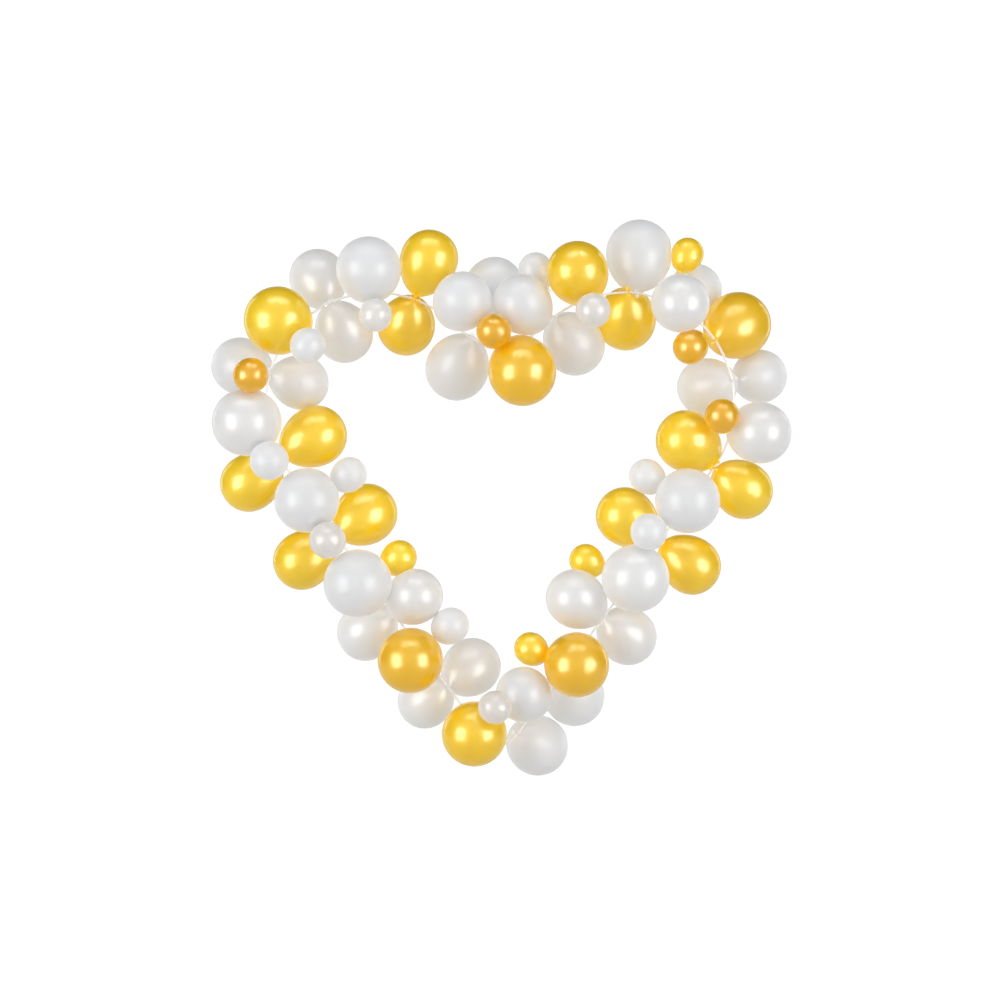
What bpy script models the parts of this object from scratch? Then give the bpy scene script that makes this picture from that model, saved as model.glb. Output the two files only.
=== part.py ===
"""A heart-shaped balloon garland for a wall or an arch.

Gold, white and pearl balloons are tied by their necks round a slim hoop bent to a heart. Small
balloons, and a few large ones, are wedged between their neighbours. The heart stands in the XZ
plane and faces -Y. The origin is on the hoop, at the bottom of the notch between the two lobes.
"""

import math

import bmesh
import bpy
from mathutils import Matrix, Vector

# The hoop, in metres
LOBE_RADIUS = 0.366
LOBE_SPACING = 0.818
NOTCH_RADIUS = 0.200
TIP_RADIUS = 0.060
TIP_DROP = 1.170
HOOP_DIAMETER = 0.008
HOOP_SIDES = 6
BEND_STEP = math.radians(12)

# The balloons, in metres: a large one and a small one, each at its usual fullness
LARGE_WIDTH = 0.200
LARGE_LENGTH = 0.230
SMALL_WIDTH = 0.113
SMALL_LENGTH = 0.130
NECK_DIAMETER = 0.013
NECK_LENGTH = 0.012
PEAR_RATIO = 0.10
LARGE_SIDES = 10
SMALL_SIDES = 7
BODY_RINGS = 4
SHOULDER = math.radians(148)
HARD_EDGE = math.radians(50)

# The rolled collar that holds a neck round the hoop
COLLAR_WALL = 0.0025
COLLAR_LENGTH = 0.016
SEAT_MARGIN = 0.001

# Where pieces meet
CLEARANCE = 0.0003
PRESS = 0.006
SLIDE_STEP = 0.001
WAY_IN = 0.300
REACH_OF_CONTACT = 0.015

GOLD = "gold"
WHITE = "white"
PEARL = "pearl"
HOOP_COLOUR = "hoop"

# Base colour and roughness of each latex and of the hoop's coating
FINISHES = {
    GOLD: ((0.86, 0.50, 0.05, 1.0), 0.28),
    WHITE: ((0.83, 0.82, 0.82, 1.0), 0.38),
    PEARL: ((0.86, 0.82, 0.79, 1.0), 0.25),
    HOOP_COLOUR: ((0.88, 0.88, 0.86, 1.0), 0.45),
}

# What is tied to each half of the hoop, from the notch to the tip. A row gives the place of the tie,
# in percent of the half, the colour, and one balloon or a pair: the way that it points round the
# hoop, in degrees from the front, positive away from the heart's middle, and its fullness.
RIGHT_TIES = (
    (2.0, GOLD, (-40, 1.10)),
    (6.5, WHITE, (45, 0.95)),
    (8.5, WHITE, (-130, 1.00)),
    (13.5, GOLD, (35, 1.00)),
    (19.5, GOLD, (-145, 1.00)),
    (20.5, WHITE, (120, 1.10)),
    (26.5, PEARL, (0, 0.95)),
    (33.5, GOLD, (140, 1.10)),
    (39.5, WHITE, (-145, 0.95)),
    (46.0, PEARL, (35, 1.00)),
    (51.0, GOLD, (-60, 1.00)),
    (52.0, GOLD, (115, 0.95)),
    (58.0, WHITE, (-5, 1.05)),
    (64.5, GOLD, (-90, 0.95), (105, 0.95)),
    (70.5, PEARL, (0, 1.10)),
    (77.5, PEARL, (-55, 0.95), (130, 0.95)),
    (84.5, GOLD, (5, 1.05)),
    (88.5, WHITE, (145, 1.00)),
    (92.0, WHITE, (-30, 0.90)),
    (97.0, WHITE, (145, 1.00)),
)
LEFT_TIES = (
    (4.0, WHITE, (-135, 1.05)),
    (8.0, WHITE, (30, 0.95)),
    (13.5, GOLD, (-140, 0.95), (85, 0.95)),
    (19.5, WHITE, (25, 1.05)),
    (25.5, PEARL, (-130, 0.95), (135, 0.95)),
    (32.0, GOLD, (15, 1.10)),
    (38.5, WHITE, (-130, 0.90), (130, 0.95)),
    (45.0, PEARL, (20, 1.10)),
    (50.0, GOLD, (-110, 1.00)),
    (51.0, GOLD, (110, 0.95)),
    (57.5, WHITE, (0, 1.05)),
    (63.5, GOLD, (-125, 1.00), (95, 0.95)),
    (70.5, WHITE, (10, 1.10)),
    (76.5, PEARL, (-45, 0.90), (125, 0.95)),
    (83.0, GOLD, (15, 1.05)),
    (89.0, PEARL, (-135, 0.95), (135, 0.90)),
    (96.0, GOLD, (5, 1.05)),
)

# The fillers of each half, with nothing tied: place, colour, whether it is a large one, and its way
# and fullness as above. How far out it lies follows from the balloons that it comes to rest on.
RIGHT_FILLERS = (
    (10.0, WHITE, False, (85, 1.00)),
    (13.5, PEARL, False, (-15, 1.00)),
    (25.0, GOLD, False, (110, 0.95)),
    (27.5, WHITE, True, (155, 0.90)),
    (32.0, GOLD, False, (-40, 1.00)),
    (39.5, WHITE, True, (150, 0.90)),
    (45.0, GOLD, False, (-15, 1.00)),
    (58.5, WHITE, False, (-65, 1.00)),
    (64.5, WHITE, False, (-15, 1.05)),
    (72.5, GOLD, False, (-85, 0.95)),
    (86.5, GOLD, False, (-55, 0.95)),
)
LEFT_FILLERS = (
    (1.0, GOLD, False, (10, 1.00)),
    (7.0, WHITE, True, (105, 0.95)),
    (18.5, PEARL, False, (-25, 0.95)),
    (32.0, WHITE, False, (-20, 1.00)),
    (39.5, GOLD, False, (10, 1.00)),
    (50.5, WHITE, False, (5, 1.10)),
    (58.0, WHITE, False, (-60, 1.00)),
    (63.5, PEARL, False, (5, 1.05)),
    (71.0, GOLD, False, (-65, 1.00)),
    (82.5, WHITE, False, (-50, 1.05)),
    (94.5, PEARL, False, (-20, 0.95)),
)


class Arc:
    """A round stretch of the hoop, from one angle through a signed sweep."""

    def __init__(self, centre, radius, start, sweep):
        self.centre = centre
        self.radius = radius
        self.start = start
        self.sweep = sweep
        self.length = radius * abs(sweep)

    def at(self, distance):
        angle = self.start + self.sweep * distance / self.length
        return self.centre + self.radius * Vector((math.cos(angle), math.sin(angle)))


class Run:
    """A straight stretch of the hoop."""

    def __init__(self, start, end):
        self.start = start
        self.end = end
        self.length = (end - start).length

    def at(self, distance):
        return self.start.lerp(self.end, distance / self.length)


def half_hoop():
    """The stretches of the right half, from the notch to the tip, in the XZ plane."""
    notch_centre = Vector((0, NOTCH_RADIUS))
    half_spacing = LOBE_SPACING / 2
    fall = math.sqrt((LOBE_RADIUS + NOTCH_RADIUS) ** 2 - half_spacing**2)
    lobe_centre = Vector((half_spacing, NOTCH_RADIUS - fall))
    to_lobe = math.atan2(-fall, half_spacing)
    notch = Arc(notch_centre, NOTCH_RADIUS, -math.pi / 2, to_lobe + math.pi / 2)

    sharp_tip = Vector((0, lobe_centre.y - TIP_DROP))
    to_tip = sharp_tip - lobe_centre
    leaves_lobe = math.atan2(to_tip.y, to_tip.x) + math.acos(LOBE_RADIUS / to_tip.length)
    lobe = Arc(lobe_centre, LOBE_RADIUS, to_lobe + math.pi, leaves_lobe - to_lobe - math.pi)

    lobe_end = lobe.at(lobe.length)
    side_way = (sharp_tip - lobe_end).normalized()
    half_angle = math.atan2(abs(side_way.x), abs(side_way.y))
    side_end = sharp_tip - side_way * (TIP_RADIUS / math.tan(half_angle))
    side = Run(lobe_end, side_end)

    tip_centre = sharp_tip + Vector((0, TIP_RADIUS / math.sin(half_angle)))
    from_centre = side_end - tip_centre
    tip_start = math.atan2(from_centre.y, from_centre.x)
    tip = Arc(tip_centre, TIP_RADIUS, tip_start, -math.pi / 2 - tip_start)
    return notch, lobe, side, tip


HALF_HOOP = half_hoop()
HALF_LENGTH = sum(stretch.length for stretch in HALF_HOOP)


def hoop_point(distance):
    """The point that far along the hoop, once round from the notch by the right lobe."""
    distance %= 2 * HALF_LENGTH
    mirrored = distance > HALF_LENGTH
    left = 2 * HALF_LENGTH - distance if mirrored else distance
    for stretch in HALF_HOOP:
        if left <= stretch.length:
            break
        left -= stretch.length
    point = stretch.at(min(left, stretch.length))
    return Vector((-point.x if mirrored else point.x, 0, point.y))


def seat_ends(distance):
    """Where the hoop's straight seat for a collar begins and ends."""
    half_seat = COLLAR_LENGTH / 2 + SEAT_MARGIN
    return distance - half_seat, distance + half_seat


def seat_frame(distance):
    """A frame on the hoop's axis: X along the hoop, Y to the back, Z away from the heart's middle."""
    start, end = (hoop_point(along) for along in seat_ends(distance))
    along = (end - start).normalized()
    back = Vector((0, 1, 0))
    frame = Matrix((along, back, along.cross(back))).transposed().to_4x4()
    frame.translation = (start + end) / 2
    return frame


class Balloon:
    """One balloon's size and place: its middle and its axis from the neck to the crown."""

    def __init__(self, seat, large, way, fullness):
        self.seat = seat
        self.large = large
        self.way = math.radians(way)
        self.width = fullness * (LARGE_WIDTH if large else SMALL_WIDTH)
        self.length = fullness * (LARGE_LENGTH if large else SMALL_LENGTH)
        self.slide = 0
        self.walls = []

    def turn(self):
        """The turn about the hoop that brings the seat's Z axis to the balloon's own."""
        return Matrix.Rotation(math.pi / 2 - self.way, 4, "X")

    def reach(self):
        """From the hoop's axis to the middle of the balloon."""
        return collar_radius() + NECK_LENGTH + self.length / 2 + self.slide

    def placed(self):
        """The balloon's frame, with its origin at its middle."""
        return self.seat @ self.turn() @ Matrix.Translation((0, 0, self.reach()))

    def middle(self):
        return self.placed().translation

    def support(self, direction):
        """How far the balloon bulges along a direction from its middle."""
        lengthways = self.placed().to_3x3().col[2].dot(direction)
        across = self.width / 2
        return math.hypot(across * math.sqrt(max(0, 1 - lengthways**2)), self.length / 2 * lengthways)

    def overlap(self, other):
        """How deep two round balloons would sink into each other."""
        gap = other.middle() - self.middle()
        way = gap.normalized()
        return self.support(way) + other.support(-way) - gap.length

    def passes(self, other):
        """Whether this balloon could touch the other one on its way in to the hoop."""
        across = self.placed().inverted() @ other.middle()
        return across.xy.length < (self.length + other.length) / 2

    def come_in(self, others):
        """Comes in from outside until it presses lightly on a neighbour, or its neck is at the hoop."""
        passed = [other for other in others if self.passes(other)]
        self.slide = WAY_IN
        while self.slide > 0 and max(self.overlap(other) for other in passed) < PRESS:
            self.slide -= SLIDE_STEP

    def press_against(self, other):
        """Adds the flat wall where this balloon meets another, in this balloon's own frame."""
        way = (other.middle() - self.middle()).normalized()
        reach = self.support(way) - self.overlap(other) / 2 - CLEARANCE / 2
        self.walls.append((self.placed().to_3x3().transposed() @ way, reach))

    def pressed(self, point):
        """Draws a point in towards the middle, as far as the flattest wall asks."""
        share = 1
        for way, reach in self.walls:
            height = way.dot(point)
            if height > reach:
                share = min(share, reach / height)
        return point * share

    def sides(self):
        return LARGE_SIDES if self.large else SMALL_SIDES


def collar_radius():
    """The flat-to-axis distance of the collar's outside."""
    return HOOP_DIAMETER / 2 + CLEARANCE + COLLAR_WALL


def corner_radius(flat_radius, sides):
    """The corner distance of a polygon whose flats are at a distance from its middle."""
    return flat_radius / math.cos(math.pi / sides)


def even_radius(radius, sides):
    """The corner distance that gives a polygon the mean radius of a round section."""
    return 2 * radius / (1 + math.cos(math.pi / sides))


def ring(radius, height, sides):
    """A level ring of points about the Z axis."""
    angles = [2 * math.pi * side / sides for side in range(sides)]
    return [Vector((radius * math.cos(angle), radius * math.sin(angle), height)) for angle in angles]


def skin(shape, rings, closed=False):
    """Joins each ring of points to the next with faces, and the last to the first if closed."""
    loops = [[shape.verts.new(point) for point in points] for points in rings]
    followers = loops[1:] + loops[:1] if closed else loops[1:]
    for loop, following in zip(loops, followers):
        for side in range(len(loop)):
            after = (side + 1) % len(loop)
            shape.faces.new((loop[side], loop[after], following[after], following[side]))
    return loops


def mesh_of(shape, name):
    """Turns the faces outwards and makes the mesh."""
    bmesh.ops.recalc_face_normals(shape, faces=shape.faces)
    mesh = bpy.data.meshes.new(name)
    shape.to_mesh(mesh)
    shape.free()
    return mesh


def body_rings(balloon):
    """The rings of the swollen body, from near the crown to the shoulder, pressed by its neighbours."""
    rings = []
    for step in range(1, BODY_RINGS + 1):
        angle = SHOULDER * step / BODY_RINGS
        radius = balloon.width / 2 * math.sin(angle) * (1 + PEAR_RATIO * math.cos(angle))
        height = balloon.length / 2 * math.cos(angle)
        level = ring(even_radius(radius, balloon.sides()), height, balloon.sides())
        rings.append([balloon.pressed(point) for point in level])
    return rings


def balloon_mesh(balloon, neck_rings):
    """A balloon's closed skin, from the crown to the end of its neck, in its seat's frame."""
    shape = bmesh.new()
    loops = skin(shape, body_rings(balloon) + neck_rings)
    crown = shape.verts.new(balloon.pressed(Vector((0, 0, balloon.length / 2))))
    for side in range(balloon.sides()):
        shape.faces.new((crown, loops[0][side], loops[0][(side + 1) % balloon.sides()]))
    shape.faces.new(loops[-1])
    bmesh.ops.transform(
        shape,
        matrix=balloon.turn() @ Matrix.Translation((0, 0, balloon.reach())),
        verts=shape.verts,
    )
    return mesh_of(shape, "balloon")


def tied_neck(balloon):
    """The neck's rings, down into the collar's wall and clear of the hoop."""
    bore = corner_radius(HOOP_DIAMETER / 2 + CLEARANCE, HOOP_SIDES)
    middle_of_wall = (bore + collar_radius()) / 2
    root = -balloon.length / 2
    end = middle_of_wall - balloon.reach()
    return [ring(NECK_DIAMETER / 2, height, balloon.sides()) for height in (root, end)]


def loose_neck(balloon):
    """The short knotted neck of a filler, drawn in where its neighbours leave no room."""
    root = -balloon.length / 2
    level = ring(NECK_DIAMETER / 2, root, balloon.sides())
    knot = ring(NECK_DIAMETER / 2, root - NECK_LENGTH, balloon.sides())
    return [[balloon.pressed(point) for point in points] for points in (level, knot)]


def collar_mesh():
    """The rolled neck end round the hoop: a tube along X with the hoop's own number of sides."""
    shape = bmesh.new()
    inside = corner_radius(HOOP_DIAMETER / 2 + CLEARANCE, HOOP_SIDES)
    outside = corner_radius(collar_radius(), HOOP_SIDES)
    half = COLLAR_LENGTH / 2
    corners = ((inside, -half), (outside, -half), (outside, half), (inside, half))
    skin(shape, [ring(radius, height, HOOP_SIDES) for radius, height in corners], closed=True)
    bmesh.ops.transform(shape, matrix=Matrix.Rotation(math.pi / 2, 4, "Y"), verts=shape.verts)
    return mesh_of(shape, "collar")


def fused(meshes):
    """One mesh from several that overlap, by Boolean union."""
    helpers = [bpy.data.objects.new("helper", mesh) for mesh in meshes]
    for helper in helpers:
        bpy.context.scene.collection.objects.link(helper)
    for helper in helpers[1:]:
        union = helpers[0].modifiers.new("union", "BOOLEAN")
        union.operation = "UNION"
        union.object = helper
    whole = helpers[0].evaluated_get(bpy.context.evaluated_depsgraph_get())
    mesh = bpy.data.meshes.new_from_object(whole)
    for helper in helpers:
        bpy.data.objects.remove(helper)
    return mesh


def finish_material(colour):
    """A smooth plastic or latex in its own colour."""
    material = bpy.data.materials.new(colour)
    material.use_nodes = True
    shader = material.node_tree.nodes["Principled BSDF"]
    base, roughness = FINISHES[colour]
    material.diffuse_color = base
    shader.inputs["Base Color"].default_value = base
    shader.inputs["Roughness"].default_value = roughness
    shader.inputs["Metallic"].default_value = 0.0
    return material


def add_object(name, mesh, frame, material, parent):
    """Puts a finished mesh in the scene, shaded smooth but for its hard edges."""
    mesh.name = name
    mesh.materials.clear()
    mesh.materials.append(material)
    mesh.shade_smooth()
    mesh.set_sharp_from_angle(angle=HARD_EDGE)
    piece = bpy.data.objects.new(name, mesh)
    bpy.context.scene.collection.objects.link(piece)
    piece.parent = parent
    piece.matrix_world = frame
    return piece


def hoop_stations(seats):
    """Where the hoop has its corners: at both ends of each seat, and along the bends between."""
    stations = []
    following = seats[1:] + [seats[0] + 2 * HALF_LENGTH]
    for seat, after in zip(seats, following):
        start = seat_ends(seat)[1]
        end = seat_ends(after)[0]
        leaving = hoop_point(start) - hoop_point(seat)
        arriving = hoop_point(after) - hoop_point(end)
        steps = max(1, math.ceil(leaving.angle(arriving) / BEND_STEP))
        stations += [seat_ends(seat)[0], start]
        stations += [start + (end - start) * step / steps for step in range(1, steps)]
    return stations


def hoop_mesh(seats):
    """A slim round rod, mitred at each corner of its run."""
    path = [hoop_point(station) for station in hoop_stations(seats)]
    radius = corner_radius(HOOP_DIAMETER / 2, HOOP_SIDES)
    back = Vector((0, 1, 0))
    rings = []
    for before, point, after in zip(path[-1:] + path[:-1], path, path[1:] + path[:1]):
        arriving = (point - before).normalized()
        leaving = (after - point).normalized()
        along = (arriving + leaving).normalized()
        stretch = 1 / math.cos(arriving.angle(leaving) / 2)
        outward = along.cross(back) * stretch
        section = ring(radius, 0, HOOP_SIDES)
        rings.append([point + outward * -corner.x + back * corner.y for corner in section])
    shape = bmesh.new()
    skin(shape, rings, closed=True)
    return mesh_of(shape, "hoop")


def place_balloons():
    """Every balloon in its place: the ties, as (name, colour, seat, balloons), and the fillers."""
    halves = (("right", RIGHT_TIES, RIGHT_FILLERS), ("left", LEFT_TIES, LEFT_FILLERS))
    ties = []
    fillers = []
    for side, tie_rows, filler_rows in halves:
        for number, (place, colour, *pointing) in enumerate(tie_rows, 1):
            distance = side_distance(side, place)
            kind = "pair" if len(pointing) > 1 else "balloon"
            balloons = [Balloon(seat_frame(distance), True, *spot) for spot in pointing]
            ties.append((f"{colour}_{kind}_{side}_{number:02d}", colour, distance, balloons))
        for number, (place, colour, large, spot) in enumerate(filler_rows, 1):
            size = "large" if large else "small"
            balloon = Balloon(seat_frame(side_distance(side, place)), large, *spot)
            fillers.append((f"{colour}_{size}_filler_{side}_{number:02d}", colour, balloon))
    return ties, fillers


def side_distance(side, place):
    """The distance round the hoop of a place given in percent of one half."""
    distance = HALF_LENGTH * place / 100
    return distance if side == "right" else 2 * HALF_LENGTH - distance


def settle(ties, fillers):
    """Brings the fillers in, large ones first, then gives every two that meet their flat walls."""
    settled = [balloon for *_, balloons in ties for balloon in balloons]
    for *_, filler in sorted(fillers, key=lambda row: row[-1].large, reverse=True):
        filler.come_in(settled)
        settled.append(filler)
    for balloon in settled:
        for other in settled:
            if other is not balloon and balloon.overlap(other) > -REACH_OF_CONTACT:
                balloon.press_against(other)


def clear_scene():
    for leftover in list(bpy.data.objects):
        bpy.data.objects.remove(leftover)


def main():
    clear_scene()
    garland = bpy.data.objects.new("garland", None)
    bpy.context.scene.collection.objects.link(garland)
    materials = {colour: finish_material(colour) for colour in FINISHES}
    ties, fillers = place_balloons()
    settle(ties, fillers)
    seats = sorted(distance for _, _, distance, _ in ties)
    add_object("heart_hoop", hoop_mesh(seats), Matrix(), materials[HOOP_COLOUR], garland)
    for name, colour, distance, balloons in ties:
        skins = [balloon_mesh(balloon, tied_neck(balloon)) for balloon in balloons]
        whole = fused([collar_mesh(), *skins])
        add_object(name, whole, seat_frame(distance), materials[colour], garland)
    for name, colour, balloon in fillers:
        whole = balloon_mesh(balloon, loose_neck(balloon))
        add_object(name, whole, balloon.seat, materials[colour], garland)


if __name__ == "__main__":
    main()
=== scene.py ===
import math
import random

import bpy
import numpy as np
from mathutils import Matrix, Vector


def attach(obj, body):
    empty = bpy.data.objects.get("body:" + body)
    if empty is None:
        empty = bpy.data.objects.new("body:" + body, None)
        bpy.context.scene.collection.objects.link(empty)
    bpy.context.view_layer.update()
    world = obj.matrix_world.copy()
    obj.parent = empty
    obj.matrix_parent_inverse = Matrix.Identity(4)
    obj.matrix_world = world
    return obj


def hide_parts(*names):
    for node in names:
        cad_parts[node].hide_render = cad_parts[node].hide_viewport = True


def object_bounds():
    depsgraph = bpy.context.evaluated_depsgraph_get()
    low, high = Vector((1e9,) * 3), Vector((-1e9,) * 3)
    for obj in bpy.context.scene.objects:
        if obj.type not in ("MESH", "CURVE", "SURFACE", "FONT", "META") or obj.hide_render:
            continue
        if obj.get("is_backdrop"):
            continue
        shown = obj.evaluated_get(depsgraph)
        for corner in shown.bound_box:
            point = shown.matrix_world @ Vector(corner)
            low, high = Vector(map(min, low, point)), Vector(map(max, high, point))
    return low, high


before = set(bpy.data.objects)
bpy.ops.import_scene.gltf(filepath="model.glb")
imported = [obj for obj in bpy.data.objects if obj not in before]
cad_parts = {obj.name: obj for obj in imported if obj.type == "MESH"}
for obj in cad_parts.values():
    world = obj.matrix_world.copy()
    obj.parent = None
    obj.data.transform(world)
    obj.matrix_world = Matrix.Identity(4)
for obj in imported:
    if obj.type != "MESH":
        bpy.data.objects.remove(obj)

bl_info = {
    "name": "Balloon garland",
    "version": (1, 0, 0),
    "blender": (4, 5, 0),
    "location": "View3D > Sidebar > Garland",
    "description": "Gold, white and pearl balloons tied round a heart-shaped hoop",
    "category": "Add Mesh",
}

GOLD, WHITE, PEARL = "gold", "white", "pearl"
HOOP_NODE = "heart_hoop"

# How the solids were drawn, which tells a balloon's size from its solid's corners
SOLID_RINGS = 4
SOLID_SHOULDER = math.radians(148)
SOLID_PEAR = 0.10
LARGE_SIDES = 10
SMALL_SIDES = 7

# Points nearer to each other than this, in metres, are one
WELD = 0.00001

# The corners of a neck and a collar lie this close together, and nowhere else so many do
NECK_SPREAD = 0.015
NECK_CORNERS = 7

# The two balloons of a pair point at least this far apart
PAIR_PARTING = math.radians(60)

# Two attributes of the points that the finishes read: how dense the latex is, 1 on the neck and 0
# where it is stretched, and the tone of the whole balloon, from 0, the palest, to 1
DENSITY = "density"
TONE = "tone"

# The balloons whose tone stands out from the others of their colour. The rest lie in a range.
TONES_BETWEEN = (0.05, 0.35)
TONES = {
    "gold_small_filler_left_01": 1.0,
    "gold_small_filler_left_05": 1.0,
    "gold_small_filler_right_05": 0.9,
    "gold_small_filler_right_07": 1.0,
    # Painted light: these four small gold fillers get a paler tone because more light falls on them
    # where they hang at the back of the band. The light is painted into their colour.
    "gold_small_filler_left_09": 0.0,
    "gold_small_filler_right_03": 0.1,
    "gold_small_filler_right_10": 0.0,
    "gold_small_filler_right_11": 0.1,
    "gold_balloon_left_15": 0.7,
    "gold_balloon_right_01": 0.6,
    "gold_balloon_right_08": 0.5,
    "gold_balloon_right_17": 0.7,
    "gold_balloon_left_10": 0.1,
    "pearl_small_filler_left_03": 0.6,
    "pearl_small_filler_left_08": 0.9,
    "pearl_small_filler_left_11": 1.0,
    "pearl_small_filler_right_02": 0.8,
    "white_balloon_left_01": 0.0,
    "white_balloon_right_20": 0.0,
    "white_balloon_right_19": 0.7,
}

# Where the nodes of a finish lie in the node editor, and the Mix node's sockets for colours
NODE_COLUMN, NODE_ROW = 220, 260
MIX_SHARE, MIX_FIRST, MIX_SECOND, MIX_RESULT = 0, 6, 7, 2

# The latex: the darkest balloons are smoother by this much, the grain is this deep in metres, and
# light spreads in the skin alike for red, green and blue
ROUGH_SPREAD = 0.12
GRAIN_DEPTH = 0.0002
MOTTLE_DETAIL = 3.0
GRAIN_DETAIL = 2.0
SHEEN_ROUGHNESS = 0.35
GLOW_SPREAD = (1.0, 1.0, 1.0)

# The hoop: how often its solid is subdivided to round it, then the rod's coating, with waves to a
# metre, how far they darken it, its least and greatest roughness, and how strong and deep they are
HOOP_LEVELS = 2
COATING_WAVES = 60.0
COATING_DETAIL = 2.0
COATING_SHADE = 0.97
COATING_ROUGHNESS = (0.3, 0.42)
COATING_STRENGTH = 0.15
COATING_DEPTH = 0.0003

# The studio: the camera's sensor in millimetres, the floor's paint, and the white that the camera
# sees round the garland
SENSOR_WIDTH = 36
FLOOR_ROUGHNESS = 0.9
WHITE_LEVEL = 1.05

# The room as the latex shines it back, from straight in front of the garland, 0, to behind it, 1
ROOM_SHADES = (
    (0.0, 0.9),
    (0.2, 0.8),
    (0.48, 0.2),
    (0.72, 0.04),
    (0.86, 0.04),
    (0.93, 0.3),
    (1.0, 0.6),
)


def clear_selection():
    """Leaves edit mode and leaves nothing selected, whatever came before."""
    if bpy.context.mode != "OBJECT":
        bpy.ops.object.mode_set(mode="OBJECT")
    bpy.ops.object.select_all(action="DESELECT")


def smooth_step(value):
    """From 0 to 1 with no corner at either end."""
    value = np.clip(value, 0, 1)
    return value * value * (3 - 2 * value)


def points_of(mesh):
    """A mesh's points as an array."""
    flat = np.empty(len(mesh.vertices) * 3)
    mesh.vertices.foreach_get("co", flat)
    return flat.reshape(-1, 3)


def set_points(mesh, points):
    """Moves a mesh's points to new places."""
    mesh.vertices.foreach_set("co", points.ravel())
    mesh.update()


def corners_of(node):
    """The corners of a solid, each of them once."""
    return np.unique(np.round(points_of(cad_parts[node].data) / WELD), axis=0) * WELD


class Balloon:
    """A balloon as its solid tells it: where its middle is, its axis, its length and its width."""

    def __init__(self, name, node, body, neck, shift):
        self.name = name
        self.node = node
        self.colour = node.split("_")[0]
        self.small = "small" in node
        self.tied = "filler" not in node
        self.shift = shift
        sides = SMALL_SIDES if self.small else LARGE_SIDES
        # The crown lies farthest from the neck, and the ring of the neck nearest to it is its foot
        crown = body[np.argmax(np.linalg.norm(body - neck.mean(axis=0), axis=1))]
        by_nearness = np.argsort(np.linalg.norm(neck - crown, axis=1))
        foot = neck[by_nearness[:sides]].mean(axis=0)
        self.axis = Vector(crown - foot).normalized()
        self.along = hoop_way(neck[by_nearness[sides:]]) if self.tied else self.axis.orthogonal()
        self.along = (self.along - self.axis * self.along.dot(self.axis)).normalized()
        if self.axis.cross(self.along).y < 0:
            self.along.negate()
        heights = (body - foot) @ np.array(self.axis)
        across = np.linalg.norm(body - foot - np.outer(heights, self.axis), axis=1)
        heights = heights[across > NECK_SPREAD]
        angles = [SOLID_SHOULDER * ring / SOLID_RINGS for ring in range(1, SOLID_RINGS + 1)]
        spread = math.cos(angles[0]) - math.cos(angles[-1])
        self.length = 2 * (heights.max() - heights.min()) / spread
        # A ring's corners stand out over the round balloon by as much as its sides fall short
        even = 2 / (1 + math.cos(math.pi / sides))
        fullest = max(math.sin(angle) * (1 + SOLID_PEAR * math.cos(angle)) for angle in angles)
        self.width = 2 * across.max() / (even * fullest)
        reach = heights.min() - self.length / 2 * math.cos(angles[-1])
        self.middle = Vector(foot) + self.axis * reach
        self.walls = []

    def support(self, way):
        """How far the balloon bulges along a direction from its middle."""
        lengthways = self.axis.dot(way)
        across = self.width / 2 * math.sqrt(max(0, 1 - lengthways**2))
        return math.hypot(across, self.length / 2 * lengthways)

    def meet(self, other, gap):
        """Adds the flat wall between this balloon and one that it presses on."""
        between = other.middle - self.middle
        way = between.normalized()
        overlap = self.support(way) + other.support(-way) - between.length
        if overlap > 0:
            self.walls.append((np.array(way), self.support(way) - overlap / 2 - gap / 2))

    def own_frame(self):
        """The balloon's own frame: its middle, X along the hoop and Z to the crown."""
        side = self.axis.cross(self.along)
        turn = Matrix((self.along, side, self.axis)).transposed().to_4x4()
        return Matrix.Translation(self.middle) @ turn


def near(points, spread):
    """How many points each point has within a distance, itself counted."""
    return (np.linalg.norm(points[:, None] - points[None], axis=2) < spread).sum(axis=1)


def hoop_way(collar):
    """The way that the hoop runs through a collar: its corners lie farthest apart along it."""
    return Vector(np.linalg.svd(collar - collar.mean(axis=0))[2][0])


def read_balloons(sizes):
    """Every balloon that the solids stand for, with the walls where two press on each other."""
    balloons = []
    for node in sorted(set(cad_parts) - {HOOP_NODE}):
        corners = corners_of(node)
        in_neck = near(corners, NECK_SPREAD) >= NECK_CORNERS
        body, neck = corners[~in_neck], corners[in_neck]
        if "pair" not in node:
            balloons.append(Balloon(node, node, body, neck, 0))
            continue
        rays = body - neck.mean(axis=0)
        reach = np.linalg.norm(rays, axis=1)
        ways = rays / reach[:, None]
        first = ways[np.argmax(reach)]
        apart = ways @ first < math.cos(PAIR_PARTING)
        second = ways[apart][np.argmax(reach[apart])]
        nearer = ways @ first > ways @ second
        for letter, own, side in (("a", nearer, -1), ("b", ~nearer, 1)):
            shift = side * sizes.roll_width * sizes.rolls / 2
            balloons.append(Balloon(f"{node}_{letter}", node, body[own], neck, shift))
    for balloon in balloons:
        for other in balloons:
            if other is not balloon:
                balloon.meet(other, sizes.gap)
    return balloons


def turned(name, outline, segments):
    """A closed piece: an outline drawn point by point beside the Z axis, and spun round it."""
    clear_selection()
    bpy.ops.mesh.primitive_plane_add(size=outline[0].length + WELD)
    piece = bpy.context.object
    piece.name = name
    bpy.ops.object.mode_set(mode="EDIT")
    bpy.ops.mesh.merge(type="CENTER")
    bpy.ops.transform.translate(value=outline[0])
    for before, point in zip(outline, outline[1:]):
        bpy.ops.mesh.extrude_region_move(TRANSFORM_OT_translate={"value": point - before})
    bpy.ops.mesh.select_all(action="SELECT")
    bpy.ops.mesh.spin(steps=segments, angle=2 * math.pi, center=(0, 0, 0), axis=(0, 0, 1))
    bpy.ops.mesh.select_all(action="SELECT")
    bpy.ops.mesh.remove_doubles(threshold=WELD)
    bpy.ops.mesh.normals_make_consistent(inside=False)
    bpy.ops.object.mode_set(mode="OBJECT")
    return piece


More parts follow.
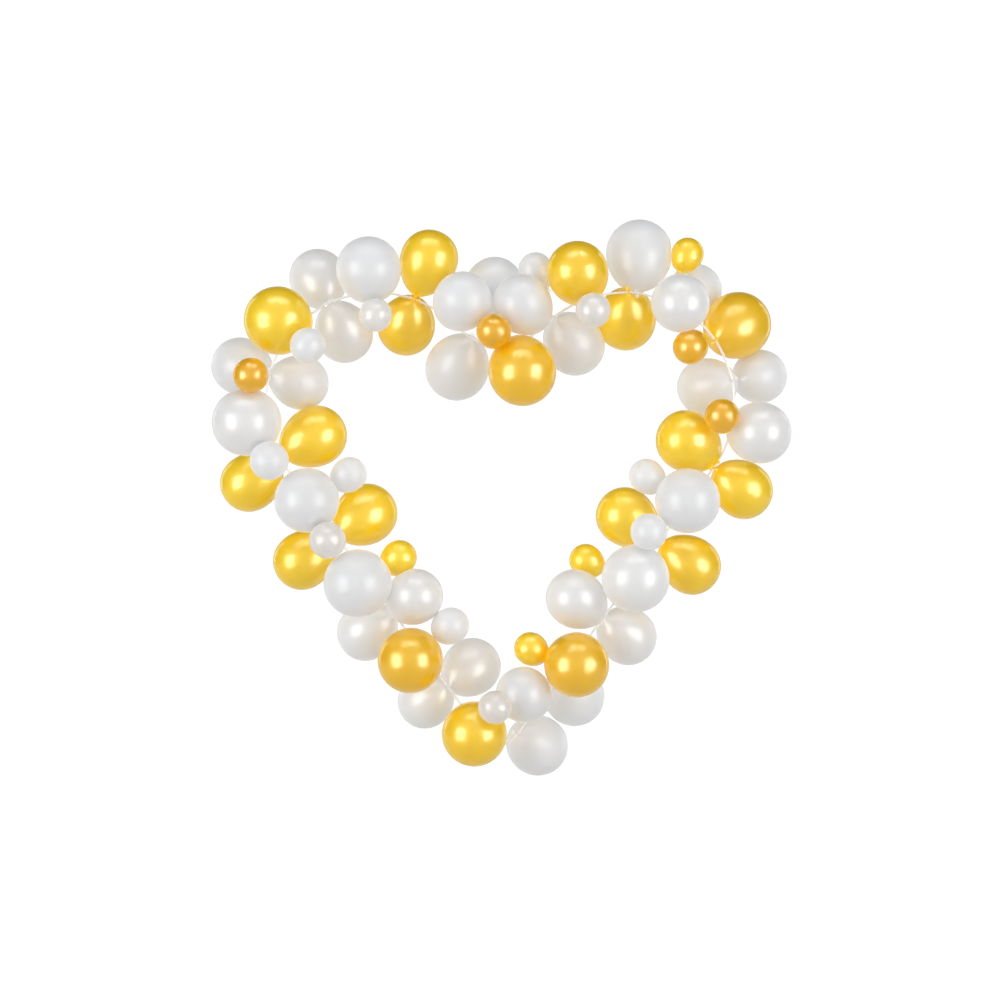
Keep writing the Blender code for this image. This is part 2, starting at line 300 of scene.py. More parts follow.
def arc(centre, radius, start, sweep, steps):
    """Points on an arc in the XZ plane, from one angle in degrees through a signed sweep."""
    angles = [math.radians(start + sweep * step / steps) for step in range(steps + 1)]
    return [centre + radius * Vector((math.cos(angle), 0, math.sin(angle))) for angle in angles]


def body_outline(width, length, neck, neck_top, sizes):
    """From the crown, round the body and down the funnel to the top of the neck."""
    steps = sizes.body_rings
    points = []
    for step in range(steps + 1):
        angle = sizes.funnel_start * step / steps
        radius = width / 2 * math.sin(angle) * (1 + SOLID_PEAR * math.cos(angle))
        points.append(Vector((radius, 0, length / 2 * math.cos(angle))))
    leaving = (points[-1] - points[-2]).normalized()
    end = Vector((neck, 0, -neck_top))
    grip = (end - points[-1]).length
    first = points[-1] + leaving * grip * sizes.funnel_fullness
    second = end + Vector((0, 0, grip * sizes.funnel_waist))
    funnel = curve_between(points[-1], first, second, end, sizes.funnel_rings)
    return points + funnel[1:]


def curve_between(start, first, second, end, steps):
    """Points along one curve between two ends with their two handles."""
    shares = [step / steps for step in range(steps + 1)]
    return [
        start * (1 - share) ** 3
        + first * 3 * share * (1 - share) ** 2
        + second * 3 * share**2 * (1 - share)
        + end * share**3
        for share in shares
    ]


def nozzle_outline(top, scale, sizes):
    """The mouth of a balloon below a height: its flare, the rolled lip and the hollow inside."""
    narrow = sizes.nozzle_neck / 2 * scale
    wide = sizes.nozzle_width / 2 * scale
    lip = sizes.lip / 2 * scale
    low = top - sizes.nozzle_length * scale
    flare = curve_between(
        Vector((narrow, 0, top)),
        Vector((narrow, 0, (top * 2 + low) / 3)),
        Vector((wide - lip, 0, (top + low * 2) / 3)),
        Vector((wide, 0, low + lip)),
        sizes.nozzle_rings,
    )
    rolled = arc(Vector((wide, 0, low)), lip, 90, -270, sizes.lip_sides)
    hollow = curve_between(
        Vector((wide - lip, 0, low)),
        Vector((wide - 2 * lip, 0, (top + low * 2) / 3)),
        Vector((narrow - lip, 0, (top + low) / 2)),
        Vector((0, 0, (top + low) / 2)),
        sizes.nozzle_rings,
    )
    return flare + rolled[1:] + hollow[1:]


def mark_density(piece, length, sizes):
    """Marks each point with how dense the latex is there: most at the neck and the crown."""
    points = points_of(piece.data)
    from_root = points[:, 2] + length / 2
    from_crown = np.linalg.norm(points - np.array((0, 0, length / 2)), axis=1)
    at_neck = 1 - smooth_step(from_root / (length * sizes.dense_neck))
    at_crown = 1 - smooth_step(from_crown / (length * sizes.dense_crown))
    density = np.maximum(at_neck, at_crown * sizes.crown_spot)
    layer = piece.data.attributes.new(DENSITY, "FLOAT", "POINT")
    layer.data.foreach_set("value", density)


def model_tied(width, length, sizes):
    """A balloon with its neck wound round the hoop and its mouth left over beside the roll."""
    roll = sizes.roll_height / 2
    round_hoop = sizes.hoop_diameter / 2 + roll
    neck = sizes.neck_width / 2
    tie = length / 2 + sizes.neck_length
    outline = body_outline(width, length, neck, tie - round_hoop - roll, sizes)
    end = -(tie - sizes.hoop_diameter / 2 - sizes.gap)
    outline += [Vector((neck, 0, end)), Vector((0, 0, end))]
    body = turned("balloon", outline, sizes.large_segments)

    clear_selection()
    half_turns = sizes.rolls * sizes.roll_width / 2
    bpy.ops.mesh.primitive_circle_add(
        vertices=sizes.roll_sides,
        radius=roll,
        location=(-half_turns, 0, round_hoop),
        rotation=(math.pi / 2, 0, 0),
    )
    winding = bpy.context.object
    bpy.ops.object.mode_set(mode="EDIT")
    bpy.ops.transform.resize(
        value=(sizes.roll_width / sizes.roll_height, 1, 1),
        center_override=(-half_turns, 0, round_hoop),
    )
    bpy.ops.object.mode_set(mode="OBJECT")
    bpy.ops.object.transform_apply(location=True, rotation=True, scale=True)
    screw = winding.modifiers.new("winding", "SCREW")
    screw.axis = "X"
    screw.angle = 2 * math.pi * sizes.rolls
    screw.screw_offset = half_turns * 2
    screw.steps = screw.render_steps = round(sizes.roll_segments * sizes.rolls)
    screw.use_merge_vertices = False
    bpy.ops.object.modifier_apply(modifier=screw.name)
    bpy.ops.object.mode_set(mode="EDIT")
    bpy.ops.mesh.select_mode(type="EDGE")
    bpy.ops.mesh.select_all(action="DESELECT")
    bpy.ops.mesh.select_non_manifold()
    bpy.ops.mesh.fill()
    bpy.ops.mesh.select_mode(type="VERT")
    bpy.ops.mesh.select_all(action="SELECT")
    bpy.ops.mesh.normals_make_consistent(inside=False)
    bpy.ops.object.mode_set(mode="OBJECT")
    winding.data.transform(Matrix.Translation((0, 0, -tie)))

    mouth_outline = [Vector((0, 0, 0))] + nozzle_outline(0, 1, sizes)
    mouth = turned("mouth", mouth_outline, sizes.small_segments)
    lean = Matrix.Rotation(sizes.mouth_lean, 4, "X")
    beside = Matrix.Translation((half_turns, 0, -tie))
    mouth.data.transform(beside @ lean @ Matrix.Translation((0, 0, -round_hoop)))
    mark_density(body, length, sizes)
    joined(body, [winding, mouth])
    dense_below(body, -tie + round_hoop + roll)
    return body


def dense_below(piece, height):
    """Latex that is wound or knotted isn't stretched at all."""
    layer = piece.data.attributes[DENSITY].data
    for point, mark in zip(piece.data.vertices, layer):
        if point.co.z < height:
            mark.value = 1


def joined(piece, others):
    """Joins other pieces into one, each a shell of its own."""
    clear_selection()
    for other in others:
        other.select_set(True)
    piece.select_set(True)
    bpy.context.view_layer.objects.active = piece
    bpy.ops.object.join()


def model_loose(width, length, scale, segments, sizes):
    """A balloon knotted at its own neck, with its mouth standing out below the knot."""
    neck = sizes.nozzle_neck / 2 * scale
    knot = sizes.knot_width / 2 * scale
    top = length / 2 + sizes.gap
    outline = body_outline(width, length, neck, top, sizes)
    bulge = knot - neck
    outline += arc(Vector((neck, 0, -top - bulge)), bulge, 90, -180, sizes.knot_rings)[1:]
    outline += nozzle_outline(-top - 2 * bulge, scale, sizes)[1:]
    piece = turned("balloon", outline, segments)
    mark_density(piece, length, sizes)
    dense_below(piece, -top)
    return piece


def fitted(model, model_width, model_length, balloon, sizes):
    """A copy of the modelled balloon with its own mesh, stretched and pressed to one balloon."""
    mesh = model.data.copy()
    points = points_of(mesh)
    from_root = points[:, 2] + model_length / 2
    in_body = smooth_step(from_root / sizes.neck_blend)
    points[:, :2] *= (1 + in_body * (balloon.width / model_width - 1))[:, None]
    stretched = points[:, 2] * balloon.length / model_length
    moved = from_root - balloon.length / 2
    points[:, 2] = np.where(from_root > 0, stretched, moved)
    tie = np.array((0, 0, -balloon.length / 2 - sizes.neck_length))
    from_foot = np.linalg.norm(points - tie, axis=1)
    points[:, 0] += balloon.shift * (1 - smooth_step(from_foot / sizes.neck_blend))

    placing = balloon.own_frame()
    turn = np.array(placing.to_3x3())
    # Each wall draws the points past it in towards the middle, and its edge is soft
    share = np.ones(len(points))
    for way, reach in balloon.walls:
        height = points @ (turn.T @ way)
        near_wall = np.clip(sizes.softness - np.abs(height - reach), 0, None)
        pressed = np.minimum(height, reach) - near_wall**2 / (4 * sizes.softness)
        touched = height > reach - sizes.softness
        drawn_in = pressed / np.where(touched, height, 1)
        share = np.where(touched, np.minimum(share, drawn_in), share)
    # No wall presses on a tied neck, so that it stays round the hoop
    free = smooth_step((from_foot - sizes.neck_blend) / sizes.neck_blend) if balloon.tied else 1
    points *= (1 + free * (share - 1))[:, None]
    set_points(mesh, points @ turn.T + np.array(placing.translation))

    piece = bpy.data.objects.new(balloon.name + "_latex", mesh)
    bpy.context.scene.collection.objects.link(piece)
    return piece


def finish_balloon(piece, balloon, material, tone):
    """Shades a placed balloon, gives it its finish and lets it stand for its solid."""
    layer = piece.data.attributes.new(TONE, "FLOAT", "POINT")
    layer.data.foreach_set("value", np.full(len(piece.data.vertices), tone))
    piece.data.materials.clear()
    piece.data.materials.append(material)
    piece.data.shade_smooth()
    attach(piece, "root")
    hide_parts(balloon.node)


def add_node(tree, kind, place, **values):
    """A shader node with some of its sockets set, at a column and row of the node editor."""
    node = tree.nodes.new(kind)
    node.location = (place[0] * NODE_COLUMN, -place[1] * NODE_ROW)
    for name, value in values.items():
        node.inputs[name.replace("_", " ")].default_value = value
    return node


def value_of(tree, name, place):
    """One of the points' attributes, as a finish reads it."""
    node = add_node(tree, "ShaderNodeAttribute", place)
    node.attribute_name = name
    return node.outputs["Fac"]


def mixed(tree, place, share, first, second):
    """A mix of two colours, each given as a socket or as a colour."""
    node = add_node(tree, "ShaderNodeMix", place)
    node.data_type = "RGBA"
    values = {MIX_SHARE: share, MIX_FIRST: first, MIX_SECOND: second}
    for number, value in values.items():
        socket = node.inputs[number]
        if isinstance(value, bpy.types.NodeSocket):
            tree.links.new(value, socket)
        else:
            socket.default_value = value
    return node.outputs[MIX_RESULT]


def ranged(tree, place, value, low, high):
    """A value from 0 to 1, mapped onto another range."""
    node = add_node(tree, "ShaderNodeMapRange", place)
    tree.links.new(value, node.inputs["Value"])
    node.inputs["To Min"].default_value = low
    node.inputs["To Max"].default_value = high
    return node.outputs["Result"]


def noise(tree, place, where, scale, detail):
    """A noise over the piece, read at some coordinates."""
    node = add_node(tree, "ShaderNodeTexNoise", place, Scale=scale, Detail=detail)
    tree.links.new(where, node.inputs["Vector"])
    return node.outputs["Fac"]


def bumpy(tree, shader, height, strength, depth):
    """Gives a finish its relief."""
    bump = add_node(tree, "ShaderNodeBump", (-1, 2), Strength=strength, Distance=depth)
    tree.links.new(height, bump.inputs["Height"])
    tree.links.new(bump.outputs["Normal"], shader.inputs["Normal"])


def latex(name, finish):
    """Stretched latex, denser in colour at neck and crown, with a faint mottle and grain."""
    material = bpy.data.materials.new(name)
    material.use_nodes = True
    tree = material.node_tree
    shader = tree.nodes["Principled BSDF"]
    where = add_node(tree, "ShaderNodeTexCoord", (-6, 0)).outputs["Object"]

    mottle = noise(tree, (-5, 1), where, finish.mottle_scale, MOTTLE_DETAIL)
    grain = noise(tree, (-5, 2), where, finish.grain_scale, GRAIN_DETAIL)

    density = value_of(tree, DENSITY, (-5, -1))
    tone = value_of(tree, TONE, (-5, 0))
    stretched = mixed(tree, (-3, 0), tone, (*finish.light, 1), (*finish.deep, 1))
    patchy = ranged(tree, (-4, 1), mottle, 0, finish.mottle)
    varied = mixed(tree, (-2, 0), patchy, stretched, (*finish.dense, 1))
    colour = mixed(tree, (-1, 0), density, varied, (*finish.dense, 1))
    tree.links.new(colour, shader.inputs["Base Color"])

    rough = ranged(tree, (-1, 1), tone, finish.roughness, finish.roughness - ROUGH_SPREAD)
    tree.links.new(rough, shader.inputs["Roughness"])
    bumpy(tree, shader, grain, finish.grain, GRAIN_DEPTH)

    constants = {
        "Metallic": finish.metallic,
        "IOR": finish.shine,
        "Coat Weight": finish.coat,
        "Coat Roughness": finish.coat_roughness,
        "Coat IOR": finish.shine,
        "Coat Tint": (*finish.coat_tint, 1),
        "Sheen Weight": finish.sheen,
        "Sheen Roughness": SHEEN_ROUGHNESS,
        "Subsurface Weight": finish.glow,
        "Subsurface Radius": GLOW_SPREAD,
        "Subsurface Scale": finish.glow_reach,
    }
    for socket, value in constants.items():
        shader.inputs[socket].default_value = value
    return material


def finish_of(colour):
    """The finish of one colour, made the first time that it is asked for."""
    name = colour + "_balloon_skin"
    finish = getattr(bpy.context.scene.garland_colours, colour)
    return bpy.data.materials.get(name) or latex(name, finish)


def coating(name, colour):
    """Smooth white plastic on the rod, with the slight waviness that dipping leaves."""
    material = bpy.data.materials.new(name)
    material.use_nodes = True
    tree = material.node_tree
    shader = tree.nodes["Principled BSDF"]
    where = add_node(tree, "ShaderNodeTexCoord", (-4, 0)).outputs["Object"]
    wave = noise(tree, (-3, 0), where, COATING_WAVES, COATING_DETAIL)
    darker = [COATING_SHADE * part for part in colour]
    shade = mixed(tree, (-1, 0), wave, (*colour, 1), (*darker, 1))
    tree.links.new(shade, shader.inputs["Base Color"])
    tree.links.new(ranged(tree, (-1, 1), wave, *COATING_ROUGHNESS), shader.inputs["Roughness"])
    bumpy(tree, shader, wave, COATING_STRENGTH, COATING_DEPTH)
    return material


def length_property(name, description, default):
    """A length in metres, shown in the scene's unit."""
    return bpy.props.FloatProperty(
        name=name, description=description, default=default, min=0, unit="LENGTH"
    )


def angle_property(name, description, degrees):
    """An angle, given in degrees."""
    return bpy.props.FloatProperty(
        name=name, description=description, default=math.radians(degrees), subtype="ANGLE"
    )


def count_property(name, description, default, least):
    """How many rings, sides or faces, and the fewest that make sense."""
    return bpy.props.IntProperty(name=name, description=description, default=default, min=least)


def colour_property(name, description, default):
    """A colour, in linear light."""
    return bpy.props.FloatVectorProperty(
        name=name, description=description, default=default, size=3, min=0, max=1, subtype="COLOR"
    )


def share_property(name, description, default):
    """A share, from 0 to 1."""
    return bpy.props.FloatProperty(
        name=name, description=description, default=default, min=0, max=1, subtype="FACTOR"
    )


class GarlandSizes(bpy.types.PropertyGroup):
    """Sizes of what the solids leave plain: necks, knots, rolls and the fineness of the shapes."""

    gap: length_property("Gap", "Left open between two balloons that press on each other", 0.0003)
    softness: length_property("Softness", "How gently a flat place runs out into the round", 0.004)
    neck_blend: length_property("Neck reach", "How far from its tie a neck keeps its shape", 0.035)
    neck_width: length_property("Neck width", "Across the neck of a tied balloon", 0.010)
    neck_length: length_property("Neck length", "From a tied body to the hoop's middle", 0.0188)
    hoop_diameter: length_property("Hoop", "Across the hoop's rod", 0.008)
    roll_height: length_property("Roll height", "How thick the neck lies on the hoop", 0.0034)
    roll_width: length_property("Roll width", "Along the hoop, one turn of the neck", 0.0044)
    nozzle_neck: length_property("Mouth neck", "Across the mouth where it is narrowest", 0.007)
    nozzle_width: length_property("Mouth width", "Across the mouth at its lip", 0.015)
    nozzle_length: length_property("Mouth length", "From the knot to the lip", 0.012)
    knot_width: length_property("Knot", "Across the knot in a loose balloon's neck", 0.013)
    lip: length_property("Lip", "Across the rolled lip of the mouth", 0.0022)
    small_scale: share_property("Small knot", "A small knot and mouth beside a large one", 0.8)
    rolls: bpy.props.FloatProperty(
        name="Rolls", description="Turns of a neck round the hoop", default=2.0, min=1
    )
    mouth_lean: angle_property("Mouth lean", "How far a tied mouth leans out of the axis", 90)
    funnel_start: angle_property("Funnel start", "Where the body turns funnel, from the crown", 118)
    funnel_fullness: share_property("Funnel fullness", "How long the funnel stays round", 0.62)
    funnel_waist: share_property("Funnel waist", "How long the funnel keeps the neck's line", 0.04)
    dense_neck: share_property("Dense neck", "Share of the length with a dense neck", 0.16)
    dense_crown: share_property("Dense crown", "Share of the length with a dense crown", 0.10)
    crown_spot: share_property("Crown spot", "How dense the crown is", 0.5)
    body_rings: count_property("Body rings", "Rings from crown to funnel", 34, 8)
    funnel_rings: count_property("Funnel rings", "Rings along the funnel", 10, 4)
    nozzle_rings: count_property("Mouth rings", "Rings along the mouth", 4, 2)
    knot_rings: count_property("Knot rings", "Rings over the knot", 8, 4)
    lip_sides: count_property("Lip sides", "Faces round the rolled lip", 7, 3)
    roll_sides: count_property("Roll sides", "Sides of the rolled neck", 10, 6)
    roll_segments: count_property("Roll segments", "Faces once round the hoop", 20, 8)
    large_segments: count_property("Large segments", "Faces round a large balloon", 56, 12)
    small_segments: count_property("Small segments", "Faces round a small balloon", 40, 12)


class LatexFinish(bpy.types.PropertyGroup):
    """One colour of latex: its shades and how it shines."""

    light: colour_property("Light", "Where it is blown fullest", (0.8, 0.8, 0.8))
    deep: colour_property("Deep", "The darkest balloon of this colour", (0.8, 0.8, 0.8))
    dense: colour_property("Dense", "Where it isn't stretched, as at the neck", (0.8, 0.8, 0.8))
    metallic: share_property("Metallic", "How metallic it shines", 0.0)
    roughness: share_property("Roughness", "How soft its shine is", 0.4)
    coat: share_property("Gloss", "How much clear gloss lies over it", 0.0)
    coat_roughness: share_property("Gloss roughness", "How soft that gloss is", 0.1)
    coat_tint: colour_property("Gloss tint", "What the gloss takes on by its depth", (1, 1, 1))
    shine: bpy.props.FloatProperty(
        name="Shine", description="Refractive index of skin and gloss", default=1.5, min=1
    )
    sheen: share_property("Sheen", "How pale it turns towards its rim", 0.0)
    glow: share_property("Glow", "How much light passes through the skin", 0.0)
    glow_reach: length_property("Glow reach", "How far that light spreads", 0.05)
    mottle: share_property("Mottle", "How much the shade varies over one balloon", 0.1)
    grain: share_property("Grain", "Strength of the fine grain", 0.05)
    mottle_scale: bpy.props.FloatProperty(
        name="Mottle scale", description="Patches to a metre", default=16.0
    )
    grain_scale: bpy.props.FloatProperty(
        name="Grain scale", description="Grains to a metre", default=900.0
    )


def finish_property(name, description):
    """The finish of one colour of latex."""
    return bpy.props.PointerProperty(type=LatexFinish, name=name, description=description)


class GarlandColours(bpy.types.PropertyGroup):
    """The finishes of the garland."""

    gold: finish_property("Gold", "Metallic gold latex")
    white: finish_property("White", "Satin white latex")
    pearl: finish_property("Pearl", "Pearl latex")
    hoop: colour_property("Hoop", "The hoop's white coating", (0.97, 0.97, 0.97))


FINISHES = {
    GOLD: {
        "light": (0.94, 0.71, 0.022),
        "deep": (0.79, 0.44, 0.002),
        "dense": (0.82, 0.36, 0.003),
        "metallic": 0.10,
        "roughness": 0.38,
        "coat": 1.0,
        "coat_roughness": 0.21,
        "coat_tint": (1.0, 0.93, 0.5),
        "shine": 1.6,
        "glow": 0.35,
        "glow_reach": 0.03,
        "mottle": 0.12,
    },
    WHITE: {
        "light": (0.735, 0.74, 0.75),
        "deep": (0.70, 0.70, 0.705),
        "dense": (0.77, 0.765, 0.76),
        "roughness": 0.38,
        "coat": 0.5,
        "coat_roughness": 0.24,
        "shine": 1.38,
        "sheen": 0.2,
        "glow": 0.8,
        "glow_reach": 0.06,
        "mottle": 0.12,
    },
    PEARL: {
        "light": (0.765, 0.772, 0.782),
        "deep": (0.70, 0.665, 0.63),
        "dense": (0.76, 0.73, 0.69),
        "metallic": 0.04,
        "roughness": 0.32,
        "coat": 0.45,
        "coat_roughness": 0.25,
        "shine": 1.37,
        "sheen": 0.15,
        "glow": 0.7,
        "glow_reach": 0.05,
        "mottle": 0.18,
    },
}


class StageSettings(bpy.types.PropertyGroup):
    """The floor, the camera and the soft light."""

    floor_drop: length_property("Floor", "From the garland's lowest point to the floor", 0.30)
    floor_size: length_property("Floor size", "Across the floor", 14.0)
    floor_colour: colour_property("Floor colour", "The floor's pale paint", (0.7, 0.7, 0.7))
    view_distance: length_property("Distance", "From the camera to the hoop's plane", 9.17)
    view_height: bpy.props.FloatProperty(
        name="Camera height",
        description="The camera over the hoop's notch",
        default=-0.5115,
        unit="LENGTH",
    )
    lens: bpy.props.FloatProperty(
        name="Lens", description="Focal length", default=100.0, unit="CAMERA"
    )
    light_distance: length_property("Light distance", "From the lights to the garland", 16.0)
    surroundings: share_property("Surroundings", "Light from the pale room all round", 0.10)


# The studio's soft boxes: azimuth from the front and elevation, width and height as they are seen
# from the garland, all in degrees, then brightness. The shine boxes only shine back, from every
# balloon alike. The rim boxes do so too, but a balloon hides them from the one behind it. The fill
# boxes light the latex with no shine and no shadow.
SHINE_BOXES = {
    "left_shine": (-48, 0, 34, 40, 5.2),
    "right_shine": (48, 0, 34, 40, 5.2),
    "top_shine": (0, 68, 54, 22, 2.6),
}
RIM_BOXES = {
    "left_strip": (-134, 5, 7, 60, 2.6),
    "right_strip": (134, 5, 7, 60, 2.6),
}
FILL_BOXES = {
    "left_fill": (-50, 0, 60, 60, 1.96),
    "right_fill": (50, 0, 60, 60, 1.96),
    "left_back_fill": (-130, 0, 60, 60, 2.1),
    "right_back_fill": (130, 0, 60, 60, 2.1),
    "top_fill": (0, 60, 60, 60, 1.0),
    "top_back_fill": (180, 60, 60, 60, 0.6),
    "low_fill": (0, -50, 60, 60, 0.55),
}


def soft_box(name, box, middle, distance):
    """Hangs one of the studio's boxes, aimed at the garland's middle."""
    azimuth, elevation, width, height, glow = box
    level = math.cos(math.radians(elevation))
    way = Vector((
        math.sin(math.radians(azimuth)) * level,
        -math.cos(math.radians(azimuth)) * level,
        math.sin(math.radians(elevation)),
    ))
    clear_selection()
    bpy.ops.object.light_add(type="AREA", location=middle + way * distance)
    light = bpy.context.object
    light.name = name
    light.rotation_euler = way.to_track_quat("Z", "Y").to_euler()
    light.data.shape = "RECTANGLE"
    light.data.size = 2 * distance * math.tan(math.radians(width / 2))
    light.data.size_y = 2 * distance * math.tan(math.radians(height / 2))
    light.data.energy = glow * light.data.size * light.data.size_y * math.pi
    light.visible_camera = False
    return light


class GARLAND_OT_hoop(bpy.types.Operator):
    """Round the hoop's solid into a fine rod with its coating"""

    bl_idname = "garland.hoop"
    bl_label = "Hoop"

    def execute(self, context):
        clear_selection()
        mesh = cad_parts[HOOP_NODE].data.copy()
        hoop = bpy.data.objects.new("heart_hoop_rod", mesh)
        context.scene.collection.objects.link(hoop)
        hoop.select_set(True)
        context.view_layer.objects.active = hoop
        bpy.ops.object.mode_set(mode="EDIT")
        bpy.ops.mesh.select_all(action="SELECT")
        bpy.ops.mesh.remove_doubles(threshold=WELD)
        bpy.ops.mesh.tris_convert_to_quads()
        bpy.ops.object.mode_set(mode="OBJECT")
        subdivision = hoop.modifiers.new("round", "SUBSURF")
        subdivision.levels = subdivision.render_levels = HOOP_LEVELS
        bpy.ops.object.modifier_apply(modifier=subdivision.name)
        hoop.data.materials.clear()
        colour = context.scene.garland_colours.hoop
        hoop.data.materials.append(coating("white_rod_coating", colour))
        hoop.data.shade_smooth()
        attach(hoop, "root")
        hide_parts(HOOP_NODE)
        return {"FINISHED"}


def fit_all(kind, model, width, length, balloons, sizes):
    """Fits a copy of one modelled balloon to every solid of its kind."""
    chance = random.Random(kind)
    for balloon in balloons:
        piece = fitted(model, width, length, balloon, sizes)
        tone = TONES.get(balloon.node, chance.uniform(*TONES_BETWEEN))
        finish_balloon(piece, balloon, finish_of(balloon.colour), tone)
    bpy.data.objects.remove(model)


def usual_size(balloons, kind):
    """The middle width and length of some balloons, at which their model is made."""
    if not balloons:
        raise RuntimeError(f"the frame has no {kind}")
    widths = sorted(balloon.width for balloon in balloons)
    lengths = sorted(balloon.length for balloon in balloons)
    return widths[len(balloons) // 2], lengths[len(balloons) // 2]


class GARLAND_OT_tied_balloons(bpy.types.Operator):
    """Model a balloon tied by its neck, and fit a copy to every tied solid"""

    bl_idname = "garland.tied_balloons"
    bl_label = "Tied balloons"

    def execute(self, context):
        sizes = context.scene.garland_sizes
        balloons = [balloon for balloon in read_balloons(sizes) if balloon.tied]
        width, length = usual_size(balloons, "tied balloons")
        fit_all("tied", model_tied(width, length, sizes), width, length, balloons, sizes)
        return {"FINISHED"}


class GARLAND_OT_large_fillers(bpy.types.Operator):
    """Model a large balloon knotted at its neck, and fit a copy to every large filler"""

    bl_idname = "garland.large_fillers"
    bl_label = "Large fillers"

    def execute(self, context):
        sizes = context.scene.garland_sizes
        balloons = [one for one in read_balloons(sizes) if not one.tied and not one.small]
        width, length = usual_size(balloons, "large fillers")
        model = model_loose(width, length, 1, sizes.large_segments, sizes)
        fit_all("large", model, width, length, balloons, sizes)
        return {"FINISHED"}


class GARLAND_OT_small_fillers(bpy.types.Operator):
    """Model a small balloon knotted at its neck, and fit a copy to every small filler"""

    bl_idname = "garland.small_fillers"
    bl_label = "Small fillers"

    def execute(self, context):
        sizes = context.scene.garland_sizes
        balloons = [balloon for balloon in read_balloons(sizes) if balloon.small]
        width, length = usual_size(balloons, "small fillers")
        model = model_loose(width, length, sizes.small_scale, sizes.small_segments, sizes)
        fit_all("small", model, width, length, balloons, sizes)
        return {"FINISHED"}


def parted(tree, rays, usual, special):
    """Shows the special shader to some of the rays and the usual one to the rest."""
    node = tree.nodes.new("ShaderNodeMixShader")
    for socket, value in zip(node.inputs, (rays, usual, special)):
        tree.links.new(value, socket)
    return node.outputs["Shader"]


def room_light(tree, strength):
    """Light from all of the room, white unless something is linked to its colour."""
    node = tree.nodes.new("ShaderNodeBackground")
    node.inputs["Color"].default_value = (1, 1, 1, 1)
    node.inputs["Strength"].default_value = strength
    return node.outputs["Background"]


def pale_paint(stage):
    """The floor's paint, which the camera sees as white as the room."""
    paint = bpy.data.materials.new("floor")
    paint.use_nodes = True
    tree = paint.node_tree
    matt = tree.nodes["Principled BSDF"]
    matt.inputs["Base Color"].default_value = (*stage.floor_colour, 1)
    matt.inputs["Roughness"].default_value = FLOOR_ROUGHNESS
    white = tree.nodes.new("ShaderNodeEmission")
    white.inputs["Strength"].default_value = WHITE_LEVEL
    rays = tree.nodes.new("ShaderNodeLightPath").outputs
    seen = parted(
        tree, rays["Is Camera Ray"], matt.outputs["BSDF"], white.outputs["Emission"]
    )
    tree.links.new(seen, tree.nodes["Material Output"].inputs["Surface"])
    return paint


def pale_room(stage):
    """A white room, which the latex shines back as pale in front and dark at the sides."""
    world = bpy.data.worlds.new("pale_room")
    world.use_nodes = True
    tree = world.node_tree
    tree.nodes.remove(tree.nodes["Background"])
    white = room_light(tree, WHITE_LEVEL)
    around = room_light(tree, stage.surroundings)
    shone = room_light(tree, 1)
    way = tree.nodes.new("ShaderNodeTexCoord")
    split = tree.nodes.new("ShaderNodeSeparateXYZ")
    tree.links.new(way.outputs["Generated"], split.inputs["Vector"])
    shade = tree.nodes.new("ShaderNodeValToRGB")
    stops = shade.color_ramp.elements
    stops.remove(stops[-1])
    for place, brightness in ROOM_SHADES:
        stop = stops.new(place) if place else stops[0]
        stop.color = (brightness, brightness, brightness, 1)
    # A ray's Y runs from -1, straight in front, to 1, straight behind
    backward = ranged(tree, (0, 0), split.outputs["Y"], 0, 1)
    backward.node.inputs["From Min"].default_value = -1
    tree.links.new(backward, shade.inputs["Fac"])
    tree.links.new(shade.outputs["Color"], shone.node.inputs["Color"])
    rays = tree.nodes.new("ShaderNodeLightPath").outputs
    glossy = parted(tree, rays["Is Glossy Ray"], around, shone)
    seen = parted(tree, rays["Is Camera Ray"], glossy, white)
    tree.links.new(seen, tree.nodes["World Output"].inputs["Surface"])
    return world


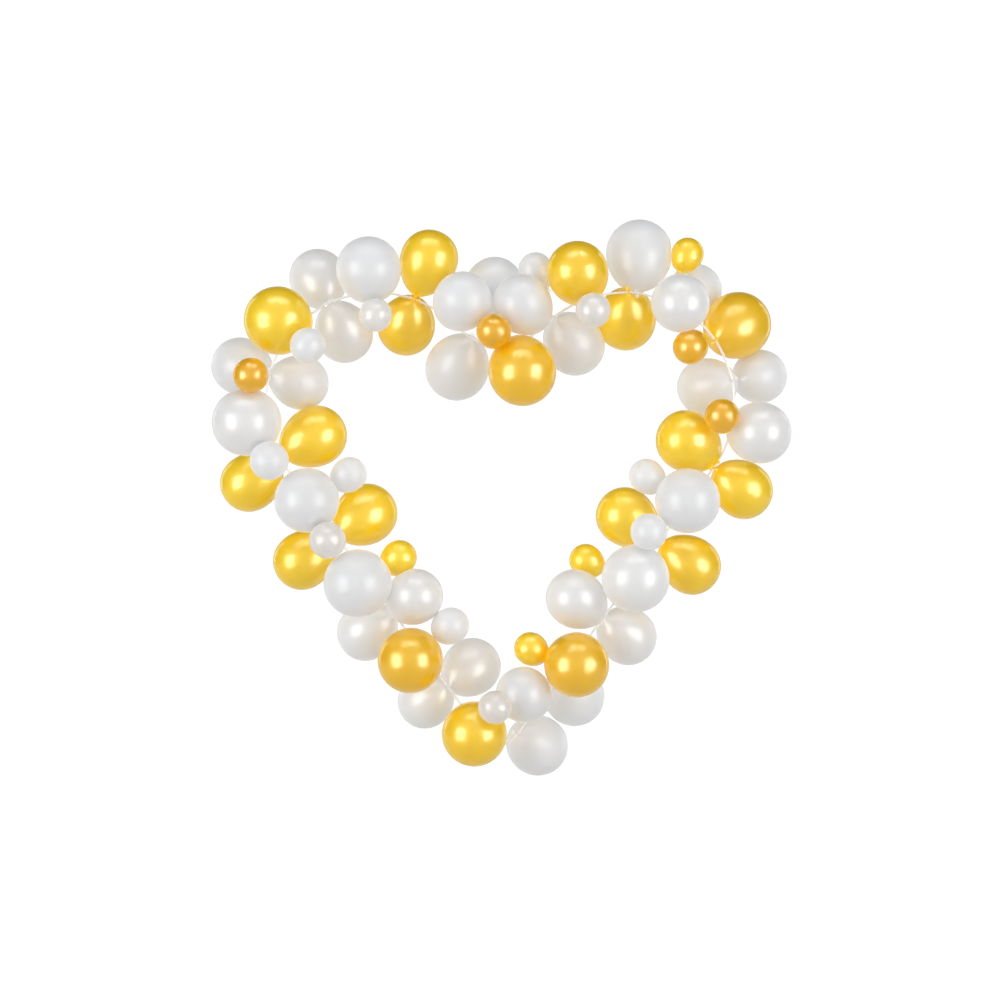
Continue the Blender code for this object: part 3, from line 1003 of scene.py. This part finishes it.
class GARLAND_OT_stage(bpy.types.Operator):
    """Lay the floor and set up the camera and the soft studio light"""

    bl_idname = "garland.stage"
    bl_label = "Stage"

    def execute(self, context):
        stage = context.scene.garland_stage
        low, high = (Vector(corner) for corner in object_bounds())
        middle = (low + high) / 2
        clear_selection()
        bpy.ops.mesh.primitive_plane_add(
            size=stage.floor_size, location=(0, 0, low.z - stage.floor_drop)
        )
        floor = context.object
        floor.name = "floor"
        bpy.ops.object.transform_apply(location=True, rotation=True, scale=True)
        floor.data.materials.append(pale_paint(stage))
        floor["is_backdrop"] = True

        for name, box in RIM_BOXES.items():
            soft_box(name, box, middle, stage.light_distance).visible_diffuse = False
        for name, box in SHINE_BOXES.items():
            shine = soft_box(name, box, middle, stage.light_distance)
            shine.visible_diffuse = False
            shine.data.use_shadow = False
            shine.data.cycles.use_multiple_importance_sampling = False
        for name, box in FILL_BOXES.items():
            fill = soft_box(name, box, middle, stage.light_distance)
            fill.visible_glossy = False
            fill.data.use_shadow = False
        context.scene.world = pale_room(stage)

        bpy.ops.object.camera_add(
            location=(0, -stage.view_distance, stage.view_height), rotation=(math.pi / 2, 0, 0)
        )
        camera = context.object
        camera.data.lens = stage.lens
        camera.data.sensor_width = SENSOR_WIDTH
        context.scene.camera = camera
        context.scene.view_settings.view_transform = "Standard"
        return {"FINISHED"}


OPERATORS = (
    GARLAND_OT_hoop,
    GARLAND_OT_tied_balloons,
    GARLAND_OT_large_fillers,
    GARLAND_OT_small_fillers,
    GARLAND_OT_stage,
)


class GARLAND_PT_panel(bpy.types.Panel):
    """The garland's pieces, sizes and finishes"""

    bl_idname = "GARLAND_PT_panel"
    bl_label = "Balloon garland"
    bl_space_type = "VIEW_3D"
    bl_region_type = "UI"
    bl_category = "Garland"

    def draw(self, context):
        for operator in OPERATORS:
            self.layout.operator(operator.bl_idname)
        colours = context.scene.garland_colours
        finishes = [getattr(colours, colour) for colour in FINISHES]
        for group in (context.scene.garland_sizes, *finishes, context.scene.garland_stage):
            box = self.layout.box()
            for name in group.__annotations__:
                box.prop(group, name)
        self.layout.prop(colours, "hoop")


CLASSES = (
    GarlandSizes,
    LatexFinish,
    GarlandColours,
    StageSettings,
    *OPERATORS,
    GARLAND_PT_panel,
)


def register():
    """Makes the classes known and hangs the settings on the scene."""
    for kind in CLASSES:
        bpy.utils.register_class(kind)
    bpy.types.Scene.garland_sizes = bpy.props.PointerProperty(type=GarlandSizes)
    bpy.types.Scene.garland_colours = bpy.props.PointerProperty(type=GarlandColours)
    bpy.types.Scene.garland_stage = bpy.props.PointerProperty(type=StageSettings)


def unregister():
    """Takes the settings and the classes away again."""
    del bpy.types.Scene.garland_sizes
    del bpy.types.Scene.garland_colours
    del bpy.types.Scene.garland_stage
    for kind in reversed(CLASSES):
        bpy.utils.unregister_class(kind)


def set_finishes(colours):
    """Gives each colour of latex its own finish."""
    for colour, finish in FINISHES.items():
        for name, value in finish.items():
            setattr(getattr(colours, colour), name, value)


def main():
    """Builds the garland and its stage."""
    register()
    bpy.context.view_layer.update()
    set_finishes(bpy.context.scene.garland_colours)
    bpy.ops.garland.hoop()
    bpy.ops.garland.tied_balloons()
    bpy.ops.garland.large_fillers()
    bpy.ops.garland.small_fillers()
    bpy.ops.garland.stage()


if __name__ == "__main__":
    main()
